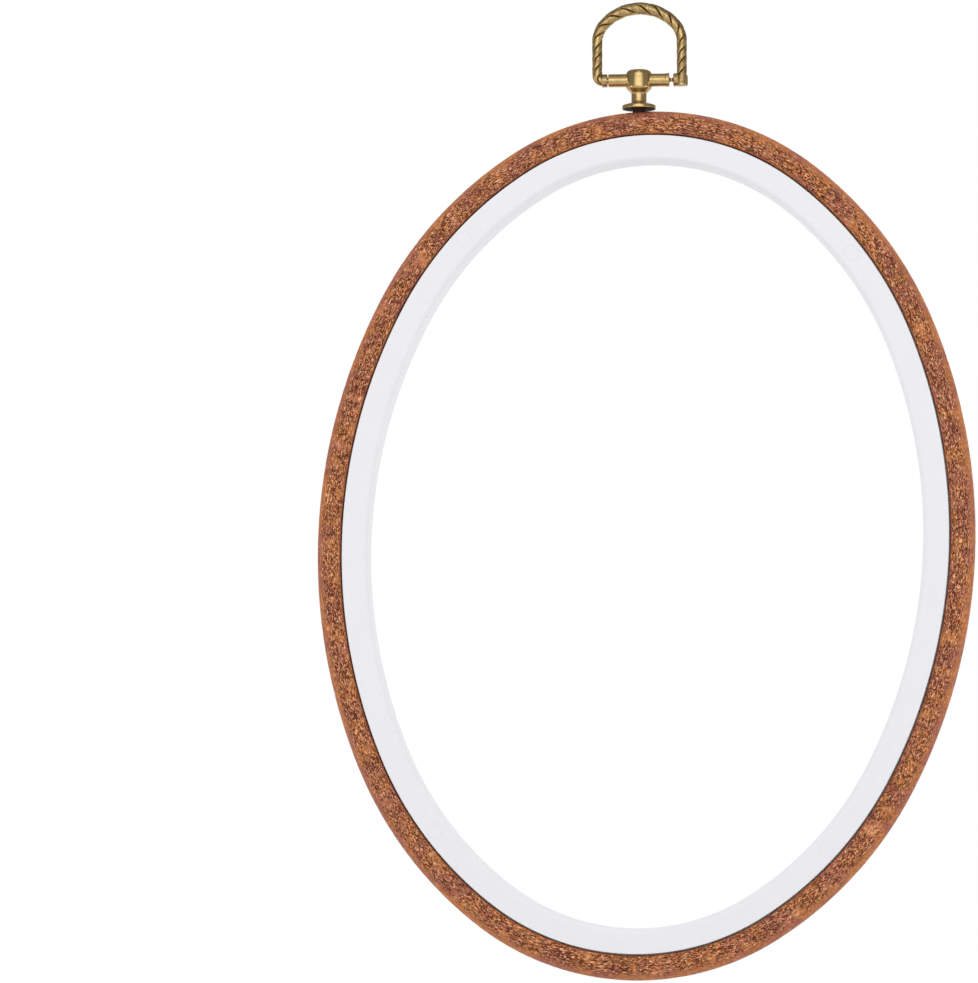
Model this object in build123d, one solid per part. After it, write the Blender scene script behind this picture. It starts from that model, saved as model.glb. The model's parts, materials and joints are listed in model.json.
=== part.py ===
from build123d import *
import os
from math import cos, degrees, radians, sin, sqrt, tan

# An oval embroidery hoop that hangs on a wall as a frame for the finished work.
# A flexible wood-look outer ring grips a rigid white inner ring, with the cloth between them.
# A turned brass post on top of the outer ring carries a rope-twist bail on a cross tube and pin.
#
# Lengths are in millimetres and angles in degrees. X runs to the right, Y to the back, Z up.
# The origin is the inside top of the bail, where a nail touches it, straight above the post.

# Oval, seen from the front
opening_width = 130
opening_length = 180
lean_angle = 2.8  # the long axis leans, with its top to the right
seam_joint_angles = (25, 55)  # the normal's angles where the oval's arcs meet

# Ring sections
inner_face_width = 6.2  # from the opening to the seam between the two rings
outer_face_width = 5.9  # from the seam to the outside
outer_ring_depth = 9.0
crest_from_seam = 2.2  # where the outer ring's face stands highest
crown_joint_angle = 45
lip_reach = 0.8  # the outer ring's front lip laps this far over the inner ring
lip_edge_drop = 1.1  # from the crest back to the lip's edge
lip_thickness = 1.0
back_edge_drop = 0.6  # from the back crest forward to the bore's edge
cloth_gap = 0.25  # left between the rings for the cloth

# Inner ring, a moulded channel that opens to the back
face_setback = 0.4  # its face lies behind the outer ring's crest
back_stand = 0.2  # its back rim stands behind the outer ring, and meets the wall
opening_edge_radius = 1.0
channel_wall = 1.8
channel_floor = 2.0
channel_draft = 1.0
web_count = 24
web_thickness = 1.2
web_setback = 1.2  # from the back rim to the edges of the webs and pads
pad_diameter = 3.5  # round ejector pads in the channel, under the faint marks in the face
pad_angles = (40, 140, 220, 320)

# Hanger post, a turned piece, with its heights measured up from the ring's crest
hanger_offset = 1.1  # the post stands this far left of the oval's centre
seat_depth = 0.2  # the flat spot under the collar, below the crest
collar_diameter = 3.0
foot_diameter = 8.0
foot_underside = 0.7
foot_rim_top = 1.55
foot_rim_radius = 0.25
foot_cone_top = 2.3
foot_cone_fillet = 0.4
stem_diameter = 3.6
stem_top = 4.5
barrel_diameter = 6.1
barrel_bottom = 5.6
barrel_top = 10.0
barrel_top_radius = 1.1
pin_height = 7.6

# Cross tube and hinge pin
tube_diameter = 3.1
tube_length = 14.4
tube_chamfer = 0.15
pin_diameter = 1.3
running_clearance = 0.05
fixed_clearance = 0.01

# Bail
bail_inside_height = 15.7  # from the pin's axis to the inside top
bail_end_float = 1.2  # the bail can slide this far along the tube
bail_shift = 0.15  # the legs' middle is this far right of the tube's middle
boss_shift = 0.2  # the bosses' middle is this far right of the legs' middle
boss_diameter = 3.1
boss_length = 1.3
boss_inset = 0.3  # how far a boss reaches into its leg, on average
boss_edge_radius = 0.2
leg_diameter = 2.4
leg_neck_diameter = 2.1  # joins the right boss to its leg
elbow_bend_radius = 1.25  # the left leg turns in to its boss round this centreline radius
crown_thickness = 2.95
straight_leg_height = 9.2  # up from the pin's axis
arch_joint_angle = 43
end_block_diameter = 2.8  # the right leg's plain end
end_block_rise = 1.0  # above the pin's axis
end_block_drop = 1.4  # below it
strand_count = 3
strand_groove_depth = 0.3
leg_strand_spacing = 2.45
crown_strand_spacing = 3.9
strand_start_angle = 20
rope_stations = 64

# Hanger screw and washer
screw_diameter = 2.0
screw_length = 8.0
screw_head_diameter = 3.8
screw_head_height = 1.4
screw_head_radius = 0.5
screw_slot_width = 0.5
screw_slot_depth = 0.6
screw_tip_gap = 0.4
screw_hole_clearance = 0.1
washer_diameter = 5.0
washer_thickness = 0.4
pocket_clearance = 0.3
head_cover = 0.4  # from the screw's head to the bore, so that the inner ring clears it

# Sizes that follow from those above
seam_half_width = opening_width / 2 + inner_face_width
seam_half_length = opening_length / 2 + inner_face_width
front_crest = -outer_ring_depth / 2
back_crest = outer_ring_depth / 2
lip_front = front_crest + lip_edge_drop
lip_back = lip_front + lip_thickness
inner_front = front_crest + face_setback
inner_back = back_crest + back_stand
inner_outside = lip_reach - cloth_gap
pin_z = -bail_inside_height
crest_z = pin_z - pin_height
screw_head_bottom = lip_reach - outer_face_width + head_cover
screw_head_top = screw_head_bottom + screw_head_height
pocket_floor = screw_head_top + washer_thickness
boss_gap = tube_length + bail_end_float
leg_spacing = boss_gap + 2 * (boss_length - boss_inset) + leg_diameter
left_leg_x = bail_shift - leg_spacing / 2
right_leg_x = bail_shift + leg_spacing / 2
left_boss_x = bail_shift + boss_shift - boss_gap / 2
right_boss_x = bail_shift + boss_shift + boss_gap / 2


def unit(angle):
    """The direction at an angle from the first axis towards the second."""
    return cos(radians(angle)), sin(radians(angle))


def ellipse_radius(half_width, half_height, normal_angle):
    """The radius of an ellipse's curve where its normal points along an angle."""
    across, along = unit(normal_angle)
    reach = sqrt((half_width * across) ** 2 + (half_height * along) ** 2)
    return (half_width * half_height) ** 2 / reach**3


def quarter_oval_radii(half_width, half_height, joint_angles, middle_radii=()):
    """Radii of the tangent arcs of a quarter oval, from its side to its top.

    Each arc turns from one joint to the next. The radii in the middle are given. The first
    and the last follow, because the arcs have to add up to the width and to the height.
    """
    angles = (0, *joint_angles, 90)
    across = [unit(a)[0] - unit(b)[0] for a, b in zip(angles, angles[1:])]
    along = [unit(b)[1] - unit(a)[1] for a, b in zip(angles, angles[1:])]
    width_left = half_width - sum(r * c for r, c in zip(middle_radii, across[1:]))
    height_left = half_height - sum(r * c for r, c in zip(middle_radii, along[1:]))
    divisor = across[0] * along[-1] - across[-1] * along[0]
    first = (width_left * along[-1] - height_left * across[-1]) / divisor
    last = (height_left * across[0] - width_left * along[0]) / divisor
    return first, *middle_radii, last


def quarter_oval_centres(half_width, radii, joint_angles):
    """Centres of those arcs, from the oval's own centre."""
    centres = [(half_width - radii[0], 0)]
    for angle, radius, next_radius in zip(joint_angles, radii, radii[1:]):
        across, along = unit(angle)
        x, z = centres[-1]
        step = radius - next_radius
        centres.append((x + step * across, z + step * along))
    return centres


# The seam between the rings is eight tangent arcs that follow an ellipse
seam_shoulder_radius = ellipse_radius(
    seam_half_width, seam_half_length, sum(seam_joint_angles) / len(seam_joint_angles)
)
seam_radii = quarter_oval_radii(
    seam_half_width, seam_half_length, seam_joint_angles, (seam_shoulder_radius,)
)
seam_centres = quarter_oval_centres(seam_half_width, seam_radii, seam_joint_angles)


def seam_arcs():
    """The seam's arcs from the right side round: centre, radius, first and last angle."""
    low, high = seam_joint_angles
    side, shoulder, end = (Vector(x, 0, z) for x, z in seam_centres)
    side_radius, shoulder_radius, end_radius = seam_radii
    mirrored = Vector(-shoulder.X, 0, shoulder.Z)
    return [
        (side, side_radius, -low, low),
        (shoulder, shoulder_radius, low, high),
        (end, end_radius, high, 180 - high),
        (mirrored, shoulder_radius, 180 - high, 180 - low),
        (-side, side_radius, 180 - low, 180 + low),
        (-shoulder, shoulder_radius, 180 + low, 180 + high),
        (-end, end_radius, 180 + high, 360 - high),
        (-mirrored, shoulder_radius, 360 - high, 360 - low),
    ]


def section_plane(centre, radius, angle):
    """A plane across the ring: its x points outwards from the seam and its y to the back."""
    across, along = unit(angle)
    outwards = Vector(across, 0, along)
    to_back = Vector(0, 1, 0)
    return Plane(centre + outwards * radius, x_dir=outwards, z_dir=outwards.cross(to_back))


def ring_along_seam(section):
    """Turns a section about the centre of each arc, and joins the eight lengths."""
    lengths = []
    for centre, radius, start, end in seam_arcs():
        face = section_plane(centre, radius, start) * section
        lengths.append(revolve(face, Axis(centre, (0, -1, 0)), end - start))
    return Part() + lengths


def evenly_spaced_planes(count):
    """Section planes at even steps of length round the seam."""
    arcs = seam_arcs()
    total = sum(radius * radians(end - start) for _, radius, start, end in arcs)
    planes = []
    passed = 0
    for centre, radius, start, end in arcs:
        arc_length = radius * radians(end - start)
        while len(planes) < count and len(planes) * total < (passed + arc_length) * count:
            into_arc = len(planes) * total / count - passed
            planes.append(section_plane(centre, radius, start + degrees(into_arc / radius)))
        passed += arc_length
    return planes


def plane_at_angle(angle):
    """The section plane where the seam's normal points along an angle."""
    return next(
        section_plane(centre, radius, turned)
        for centre, radius, start, end in seam_arcs()
        for turned in (angle, angle - 360)
        if start <= turned < end
    )


def crest_above_centre(x):
    """How high the outside of the leaning ring is over the oval's centre, near its top end."""
    across, along = unit(90 - lean_angle)
    end_centre = seam_centres[-1][1]
    end_radius = seam_radii[-1] + outer_face_width
    return end_centre * along + sqrt(end_radius**2 - (x - end_centre * across) ** 2)


oval_centre_z = crest_z - crest_above_centre(-hanger_offset)
oval_place = Pos(hanger_offset, 0, oval_centre_z) * Rot(0, lean_angle, 0)


def turned_piece(outline):
    """Revolves corners, given as radius, height and fillet radius, about the post's axis."""
    corners = [(radius, height) for radius, height, _ in outline]
    fillets = [fillet_radius for _, _, fillet_radius in outline]
    profile = make_face(FilletPolyline(*corners, radius=fillets, close=True))
    return Pos(0, 0, crest_z) * revolve(Plane.XZ * profile, Axis.Z)


def rod_along_x(diameter, start_x, end_x):
    """A round rod at the height of the hinge pin."""
    rod = Cylinder(diameter / 2, end_x - start_x, align=(Align.CENTER, Align.CENTER, Align.MIN))
    return Pos(start_x, 0, pin_z) * Rot(0, 90, 0) * rod


def upright_rod(diameter, x, bottom_z, top_z):
    """A round rod that stands on the hanger's middle plane."""
    rod = Cylinder(diameter / 2, top_z - bottom_z, align=(Align.CENTER, Align.CENTER, Align.MIN))
    return Pos(x, 0, bottom_z) * rod


def outer_ring_section():
    """A rounded crown, and a straight bore behind a thin lip."""
    crown_reach = outer_face_width - crest_from_seam
    flank, shoulder = quarter_oval_radii(crown_reach, outer_ring_depth / 2, (crown_joint_angle,))
    shoulder_y = outer_ring_depth / 2 - shoulder
    shoulder_turn = 90 - crown_joint_angle
    back_edge = back_crest - back_edge_drop
    outline = [
        TangentArc((crest_from_seam, front_crest), (0, lip_front), tangent=(-1, 0)),
        CenterArc((crest_from_seam, -shoulder_y), shoulder, -90, shoulder_turn),
        CenterArc((outer_face_width - flank, 0), flank, -crown_joint_angle, 2 * crown_joint_angle),
        CenterArc((crest_from_seam, shoulder_y), shoulder, crown_joint_angle, shoulder_turn),
        TangentArc((crest_from_seam, back_crest), (lip_reach, back_edge), tangent=(-1, 0)),
        Line((lip_reach, back_edge), (lip_reach, lip_back)),
        Line((lip_reach, lip_back), (0, lip_back)),
        Line((0, lip_back), (0, lip_front)),
    ]
    return make_face(outline)


def inner_ring_section():
    """A channel with a narrower nose in front, where the outer ring's lip laps over it."""
    nose = -cloth_gap
    opening = -inner_face_width
    shoulder_y = lip_back + cloth_gap
    floor_y = inner_front + channel_floor
    taper = (inner_back - floor_y) * tan(radians(channel_draft))
    edge_x = opening + opening_edge_radius
    edge_y = inner_front + opening_edge_radius
    outline = [
        Line((nose, inner_front), (edge_x, inner_front)),
        CenterArc((edge_x, edge_y), opening_edge_radius, 180, 90),
        Line((opening, edge_y), (opening, inner_back)),
        Line((opening, inner_back), (opening + channel_wall, inner_back)),
        Line((opening + channel_wall, inner_back), (opening + channel_wall + taper, floor_y)),
        Line(
            (opening + channel_wall + taper, floor_y),
            (inner_outside - channel_wall - taper, floor_y),
        ),
        Line(
            (inner_outside - channel_wall - taper, floor_y),
            (inner_outside - channel_wall, inner_back),
        ),
        Line((inner_outside - channel_wall, inner_back), (inner_outside, inner_back)),
        Line((inner_outside, inner_back), (inner_outside, shoulder_y)),
        Line((inner_outside, shoulder_y), (nose, shoulder_y)),
        Line((nose, shoulder_y), (nose, inner_front)),
    ]
    return make_face(outline)


def make_outer_ring():
    """The ring, with a seat, a hole and an inside pocket for the hanger and its screw."""
    ring = oval_place * ring_along_seam(outer_ring_section())
    seat = upright_rod(
        collar_diameter + 2 * running_clearance, 0, crest_z - seat_depth, crest_z + foot_underside
    )
    hole = upright_rod(
        screw_diameter + 2 * screw_hole_clearance, 0, crest_z + pocket_floor, crest_z
    )
    pocket = upright_rod(
        washer_diameter + 2 * pocket_clearance,
        0,
        crest_z - 2 * outer_face_width,
        crest_z + pocket_floor,
    )
    return ring - [seat, hole, pocket]


def make_inner_ring():
    """The channel, with thin webs across it and round ejector pads."""
    middle = (inner_outside - inner_face_width) / 2
    width = inner_outside + inner_face_width - channel_wall
    bottom = inner_front + channel_floor / 2
    rise = inner_back - web_setback - bottom
    web = Pos(middle, bottom, 0) * Box(
        width, rise, web_thickness, align=(Align.CENTER, Align.MIN, Align.CENTER)
    )
    pad = Cylinder(pad_diameter / 2, rise, align=(Align.CENTER, Align.CENTER, Align.MIN))
    pad = Pos(middle, bottom, 0) * Rot(-90, 0, 0) * pad
    webs = [plane.location * web for plane in evenly_spaced_planes(web_count)]
    pads = [plane_at_angle(angle).location * pad for angle in pad_angles]
    return oval_place * (ring_along_seam(inner_ring_section()) + webs + pads)


def make_hanger_post():
    """A foot, stem and barrel in one, tapped from below and drilled across for the tube."""
    post = turned_piece(
        [
            (0, -seat_depth, 0),
            (collar_diameter / 2, -seat_depth, 0),
            (collar_diameter / 2, foot_underside, 0),
            (foot_diameter / 2, foot_underside, foot_rim_radius),
            (foot_diameter / 2, foot_rim_top, foot_rim_radius),
            (stem_diameter / 2, foot_cone_top, foot_cone_fillet),
            (stem_diameter / 2, stem_top, foot_cone_fillet),
            (barrel_diameter / 2, barrel_bottom, foot_cone_fillet),
            (barrel_diameter / 2, barrel_top, barrel_top_radius),
            (0, barrel_top, 0),
        ]
    )
    tapped_hole = upright_rod(
        screw_diameter + 2 * fixed_clearance,
        0,
        crest_z - seat_depth,
        crest_z + screw_head_top + screw_length + screw_tip_gap,
    )
    cross_hole = rod_along_x(
        tube_diameter + 2 * fixed_clearance, -barrel_diameter, barrel_diameter
    )
    return post - [tapped_hole, cross_hole]


def make_cross_tube():
    """The tube that the hinge pin turns in, pressed through the barrel."""
    tube = rod_along_x(tube_diameter, -tube_length / 2, tube_length / 2)
    tube = chamfer(tube.edges(), tube_chamfer)
    return tube - rod_along_x(
        pin_diameter + 2 * running_clearance, -tube_length / 2, tube_length / 2
    )


def make_hinge_pin():
    """A plain pin from the middle of one leg to the middle of the other."""
    return rod_along_x(pin_diameter, left_leg_x, right_leg_x)


def bail_centreline():
    """From the pin's axis up the left leg, over the arch and down the right leg."""
    half_width = leg_spacing / 2
    rise = bail_inside_height + crown_thickness / 2 - straight_leg_height
    haunch, crown = quarter_oval_radii(half_width, rise, (arch_joint_angle,))
    haunch_x = half_width - haunch
    crown_y = straight_leg_height + rise - crown
    crown_turn = 90 - arch_joint_angle
    centreline = Wire(
        [
            Line((-half_width, 0), (-half_width, straight_leg_height)),
            CenterArc((-haunch_x, straight_leg_height), haunch, 180, -arch_joint_angle),
            CenterArc((0, crown_y), crown, 90 + crown_turn, -2 * crown_turn),
            CenterArc((haunch_x, straight_leg_height), haunch, arch_joint_angle, -arch_joint_angle),
            Line((half_width, straight_leg_height), (half_width, 0)),
        ]
    )
    return Pos(bail_shift, 0, pin_z) * (Plane.XZ * centreline)


def rope_section(centre, outwards, radius, turn):
    """One rounded lobe for each strand, with a groove between each two."""
    front = Vector(0, -1, 0)
    groove = radius - strand_groove_depth
    lobe_turn = 360 / strand_count

    def point(reach, angle):
        across, along = unit(angle)
        return centre + (outwards * across + front * along) * reach

    starts = [turn + lobe_turn * strand for strand in range(strand_count)]
    return Wire(
        [
            Edge.make_three_point_arc(
                point(groove, start),
                point(radius, start + lobe_turn / 2),
                point(groove, start + lobe_turn),
            )
            for start in starts
        ]
    )


def make_rope():
    """Lobed sections along the centreline, each turned a little further than the last.

    The strands lie closer on the legs than over the crown, where the rope is also thicker.
    """
    centreline = bail_centreline()
    length = centreline.length
    step = (length - elbow_bend_radius - end_block_rise) / rope_stations
    turn = strand_start_angle
    sections = []
    for station in range(rope_stations + 1):
        share = (elbow_bend_radius + station * step) / length
        swell = sin(radians(180 * share)) ** 4
        thickness = leg_diameter + (crown_thickness - leg_diameter) * swell
        tangent = centreline % share
        outwards = Vector(-tangent.Z, 0, tangent.X)
        sections.append(rope_section(centreline @ share, outwards, thickness / 2, turn))
        spacing = leg_strand_spacing + (crown_strand_spacing - leg_strand_spacing) * swell
        turn += 360 / strand_count * step / spacing
    return Solid.make_loft(sections, ruled=True)


def make_bail():
    """The rope, a rounded elbow on the left leg, a plain block on the right one, and two bosses."""
    left_boss = rod_along_x(boss_diameter, left_boss_x - boss_length, left_boss_x)
    right_boss = rod_along_x(boss_diameter, right_boss_x, right_boss_x + boss_length)
    bend_centre = (left_leg_x + elbow_bend_radius, 0, pin_z + elbow_bend_radius)
    leg_end = Plane((left_leg_x, 0, pin_z + elbow_bend_radius)) * Circle(leg_diameter / 2)
    pieces = [
        revolve(leg_end, Axis(bend_centre, (0, -1, 0)), 90),
        fillet(left_boss.edges(), boss_edge_radius),
        upright_rod(
            end_block_diameter, right_leg_x, pin_z - end_block_drop, pin_z + end_block_rise
        ),
        rod_along_x(leg_neck_diameter, right_boss_x, right_leg_x),
        fillet(right_boss.edges(), boss_edge_radius),
    ]
    pin_hole = rod_along_x(
        pin_diameter + 2 * fixed_clearance,
        left_leg_x - fixed_clearance,
        right_leg_x + fixed_clearance,
    )
    return Part() + [make_rope(), *pieces] - pin_hole


def make_hanger_screw():
    """A slotted pan-head screw from inside the ring up into the post."""
    screw = turned_piece(
        [
            (0, screw_head_bottom, 0),
            (screw_head_diameter / 2, screw_head_bottom, screw_head_radius),
            (screw_head_diameter / 2, screw_head_top, 0),
            (screw_diameter / 2, screw_head_top, 0),
            (screw_diameter / 2, screw_head_top + screw_length, 0),
            (0, screw_head_top + screw_length, 0),
        ]
    )
    slot = Pos(0, 0, crest_z + screw_head_bottom) * Box(
        screw_head_diameter, screw_slot_width, 2 * screw_slot_depth
    )
    return screw - slot


def make_screw_washer():
    """A plain washer that spreads the screw's pull on the soft ring."""
    bore = screw_diameter / 2 + screw_hole_clearance
    return turned_piece(
        [
            (bore, screw_head_top, 0),
            (washer_diameter / 2, screw_head_top, 0),
            (washer_diameter / 2, pocket_floor, 0),
            (bore, pocket_floor, 0),
        ]
    )


nodes = {
    "outer_ring": make_outer_ring(),
    "inner_ring": make_inner_ring(),
    "hanger_post": make_hanger_post(),
    "cross_tube": make_cross_tube(),
    "hinge_pin": make_hinge_pin(),
    "bail": make_bail(),
    "hanger_screw": make_hanger_screw(),
    "screw_washer": make_screw_washer(),
}

os.makedirs("parts", exist_ok=True)
for name, shape in nodes.items():
    export_step(shape, f"parts/{name}.step")

print(f"oval centre at x {hanger_offset:.2f}, z {oval_centre_z:.2f}; pin's axis at z {pin_z:.2f}")
print(f"ring's crest under the post at z {crest_z:.2f}")
print("seam arcs of radius " + ", ".join(f"{radius:.2f}" for radius in seam_radii))
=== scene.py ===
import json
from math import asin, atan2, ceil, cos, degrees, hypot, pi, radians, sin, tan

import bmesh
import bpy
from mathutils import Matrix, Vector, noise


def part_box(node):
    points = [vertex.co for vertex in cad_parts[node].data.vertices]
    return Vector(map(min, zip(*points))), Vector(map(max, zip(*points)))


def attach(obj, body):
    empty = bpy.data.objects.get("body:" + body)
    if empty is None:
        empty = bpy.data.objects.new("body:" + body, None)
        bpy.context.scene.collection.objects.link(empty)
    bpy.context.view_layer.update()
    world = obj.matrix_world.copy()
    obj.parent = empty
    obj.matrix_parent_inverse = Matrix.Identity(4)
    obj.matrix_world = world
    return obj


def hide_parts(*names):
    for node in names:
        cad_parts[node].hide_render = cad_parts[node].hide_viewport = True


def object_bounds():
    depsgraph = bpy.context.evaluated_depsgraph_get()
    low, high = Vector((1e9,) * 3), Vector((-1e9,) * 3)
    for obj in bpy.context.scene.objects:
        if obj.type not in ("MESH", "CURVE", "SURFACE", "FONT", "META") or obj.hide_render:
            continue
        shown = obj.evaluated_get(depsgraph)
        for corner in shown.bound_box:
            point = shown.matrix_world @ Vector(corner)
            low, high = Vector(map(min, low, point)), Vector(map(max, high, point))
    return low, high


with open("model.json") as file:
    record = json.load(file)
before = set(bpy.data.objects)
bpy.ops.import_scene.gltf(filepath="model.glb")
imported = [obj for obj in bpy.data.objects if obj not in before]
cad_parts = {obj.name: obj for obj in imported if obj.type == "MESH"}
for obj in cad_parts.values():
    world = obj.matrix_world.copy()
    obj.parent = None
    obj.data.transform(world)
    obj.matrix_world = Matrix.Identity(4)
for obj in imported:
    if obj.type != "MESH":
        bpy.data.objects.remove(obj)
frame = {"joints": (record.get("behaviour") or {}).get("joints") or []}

# %% [markdown]
# An oval embroidery hoop that hangs as a frame. Four things make its look: a soft outer ring with
# embossed wood grain, a rigid white inner ring, a turned brass post, and a bail cast like a rope.
# The pieces could be painted as they come from the engineering model, but those are loose triangles
# that shade flat. Each is modelled again here, smooth, in the same place and at the same size, and
# then stands for the original.

model_box = [list(corner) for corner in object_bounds()]
bpy.ops.object.select_all(action="DESELECT")
print("model box, metres:", model_box)

# %% [markdown]
# Sizes are written in millimetres, as on the workshop's drawing, and Blender works in metres. A
# one-line helper keeps both readable. Places come from the joints and boxes of the loaded model.

# %% Sizes that many pieces share
def mm(length):
    """A length in millimetres, as the metres that Blender works in."""
    return length / 1000


joints = {joint["name"]: joint for joint in frame["joints"]}
pin_z = joints["bail_hinge"]["pos_m"][2]
crest_z = joints["post_swivel"]["pos_m"][2]
ring_low, ring_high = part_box("outer_ring")
oval_centre = (ring_low + ring_high) / 2
print("oval centre", oval_centre, "pin's height", pin_z, "ring's crest", crest_z)

# %% [markdown]
# The camera stands where the picture was taken: 1.2 m in front of the hoop, a little to its right
# and a little below it, so that more of the opening's wall shows at the top left. It could be
# shifted like a view camera, but a plain aim keeps the hoop in the middle of every other view.

# %% Camera
image_width, image_height = 978, 983
hoop_in_image = Vector((644.9, 544.3))  # the pixel of the oval's centre
pixels_per_metre = 4252
camera_from_hoop = Vector((mm(73.5), mm(-1175), mm(-87.6)))

aim_right, aim_down = (Vector((image_width, image_height)) / 2 - hoop_in_image) / pixels_per_metre
aim = oval_centre + Vector((aim_right, 0, -aim_down))
bpy.ops.object.camera_add(location=oval_centre + camera_from_hoop)
camera = bpy.context.object
line_of_sight = aim - camera.location
camera.rotation_euler = line_of_sight.to_track_quat("-Z", "Y").to_euler()
camera.data.lens = (
    camera.data.sensor_width * pixels_per_metre * line_of_sight.length / image_height
)
bpy.context.scene.camera = camera
bpy.context.scene.view_settings.view_transform = "Standard"
print("camera at", camera.location, "with a lens of", camera.data.lens, "mm")

# %% [markdown]
# Node trees turn hard to read when they are built one link at a time. Two small classes let a
# material be written like a sum instead: signs between wires add Math nodes, and one method adds
# every other kind of node, with its settings first and then what goes into its sockets.

# %% Materials written as sums
class Wire:
    """A value inside a material. Adding, multiplying and so on make Math nodes."""

    def __init__(self, finish, socket):
        self.finish = finish
        self.socket = socket

    def sum(self, operation, *values):
        return self.finish.add("Math", {"operation": operation}, dict(enumerate(values)))

    def __add__(self, other):
        return self.sum("ADD", self, other)

    def __sub__(self, other):
        return self.sum("SUBTRACT", self, other)

    def __rsub__(self, other):
        return self.sum("SUBTRACT", other, self)

    def __mul__(self, other):
        return self.sum("MULTIPLY", self, other)

    def __abs__(self):
        return self.sum("ABSOLUTE", self)

    __radd__ = __add__
    __rmul__ = __mul__

    def step(self, low, high):
        """0 up to low, 1 from high, and a soft step between them."""
        return self.finish.add(
            "MapRange",
            {"interpolation_type": "SMOOTHSTEP"},
            {"Value": self, "From Min": low, "From Max": high},
        )


class Finish:
    """A material, or the world, and the one way that nodes are added to it."""

    def __init__(self, holder):
        holder.use_nodes = True
        self.holder = holder
        self.tree = holder.node_tree

    def add(self, kind, settings=None, inputs=None, output=0):
        """Adds a node, and returns one of its outputs."""
        node = self.tree.nodes.new("ShaderNode" + kind)
        for name, value in (settings or {}).items():
            setattr(node, name, value)
        for name, value in (inputs or {}).items():
            self.feed(node.inputs[name], value)
        return Wire(self, node.outputs[output]) if node.outputs else None

    def feed(self, socket, value):
        """Links a wire to a socket, or sets the socket's own value."""
        if isinstance(value, Wire):
            self.tree.links.new(value.socket, socket)
        else:
            socket.default_value = value

    def mix(self, share, first, second):
        """A colour between two colours."""
        return self.add("Mix", {"data_type": "RGBA"}, {0: share, 6: first, 7: second}, 2)

    def surface(self, inputs):
        """Feeds the sockets of the material's own shader."""
        for name, value in inputs.items():
            self.feed(self.tree.nodes["Principled BSDF"].inputs[name], value)


def new_finish(name):
    """A new material, ready for its nodes."""
    return Finish(bpy.data.materials.new(name))


def paint(red, green, blue):
    """A colour as a paint shop reads it from a screen, from 0 to 255."""
    shares = [level / 255 for level in (red, green, blue)]
    linear = [s / 12.92 if s < 0.04045 else ((s + 0.055) / 1.055) ** 2.4 for s in shares]
    return (*linear, 1)


print("middle grey paint is", paint(128, 128, 128))

# %% [markdown]
# A catalogue picture has white paper behind the thing and soft light all round it. The paper could
# be lit until it burns out, but that would bleach the white ring as well. So the world shows white
# to the camera alone, and its light on the hoop stays at a plain level. Polished metal needs
# something to mirror, so it sees a bright patch in front, the white paper behind, and dark sides.

# %% World
paper_level = 1.0
studio_level = 1.0
side_level, front_level = 0.29, 1.8
front_reach, backdrop_reach = (0.7, 0.98), (0.75, 0.95)  # cosines where a patch starts and is full

world = Finish(bpy.context.scene.world or bpy.data.worlds.new("studio"))
bpy.context.scene.world = world.holder
world.tree.nodes.clear()
direction = world.add("TexCoord", output="Generated")
towards_camera = world.add("SeparateXYZ", inputs={0: direction}, output="Y") * -1
front = towards_camera.step(*front_reach)
backdrop = (towards_camera * -1).step(*backdrop_reach)
mirrored = side_level + (front_level - side_level) * front + (paper_level - side_level) * backdrop
is_glossy = world.add("LightPath", output="Is Glossy Ray")
lighting = is_glossy * mirrored + (1 - is_glossy) * studio_level
is_camera = world.add("LightPath", output="Is Camera Ray")
level = is_camera * paper_level + (1 - is_camera) * lighting
shown = world.add("Background", inputs={"Color": (1, 1, 1, 1), "Strength": level})
world.add("OutputWorld", inputs={"Surface": shown})
print("the world lights the hoop at", studio_level)

# %% [markdown]
# A small soft box stands at each side of the hoop, and a third hangs above and in front of it. They
# could be large and strong, but that would bleach the white ring. Small weak ones only add glints
# to the brass.

# %% Soft boxes
def soft_box(name, place, size, power):
    """A square lamp that faces the hanger and the upper half of the hoop."""
    bpy.ops.object.light_add(type="AREA", location=place)
    lamp = bpy.context.object
    lamp.name = name
    lamp.data.size = size
    lamp.data.energy = power
    lamp.rotation_euler = (oval_centre / 2 - lamp.location).to_track_quat("-Z", "Y").to_euler()


soft_box("left_box", (-1.1, -0.4, -0.25), 0.3, 1.2)
soft_box("right_box", (1.1, -0.4, -0.25), 0.3, 1.4)
soft_box("top_box", (0, -0.7, 1.1), 0.4, 0.6)

# %% [markdown]
# The hoop hangs from its bail, so the floor lies below it and out of the camera's frame. It only
# shows from above. It could end at an edge, but it fades to the white of the paper instead.

# %% Floor
floor_gap = mm(20)
floor_size = 6.0
fade_start, fade_end = 0.5, 1.6

bpy.ops.mesh.primitive_plane_add(size=floor_size, location=(0, 0, model_box[0][2] - floor_gap))
floor = bpy.context.object
floor.name = "floor"
floor_finish = new_finish("pale_floor")
from_middle = floor_finish.add(
    "VectorMath",
    {"operation": "LENGTH"},
    {0: floor_finish.add("TexCoord", output="Object")},
    "Value",
)
floor_finish.surface({"Base Color": paint(236, 236, 236), "Roughness": 0.9})
faded = floor_finish.add(
    "MixShader",
    inputs={
        0: from_middle.step(fade_start, fade_end),
        1: Wire(floor_finish, floor_finish.tree.nodes["Principled BSDF"].outputs[0]),
        2: floor_finish.add("Emission", inputs={"Strength": paper_level}),
    },
)
floor_finish.feed(floor_finish.tree.nodes["Material Output"].inputs[0], faded)
floor.data.materials.append(floor_finish.holder)
print("floor at", floor.location.z)

# %% [markdown]
# Nearly every piece here is an outline that is turned: the rings about the centres of their arcs,
# and the brass about its own axis, as on a lathe. The outline is drawn as by hand, one vertex
# extruded from corner to corner, and its corners are rounded first.

# %% Outlines
outline_detail = radians(15)  # the turn from one point to the next round a corner


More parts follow.
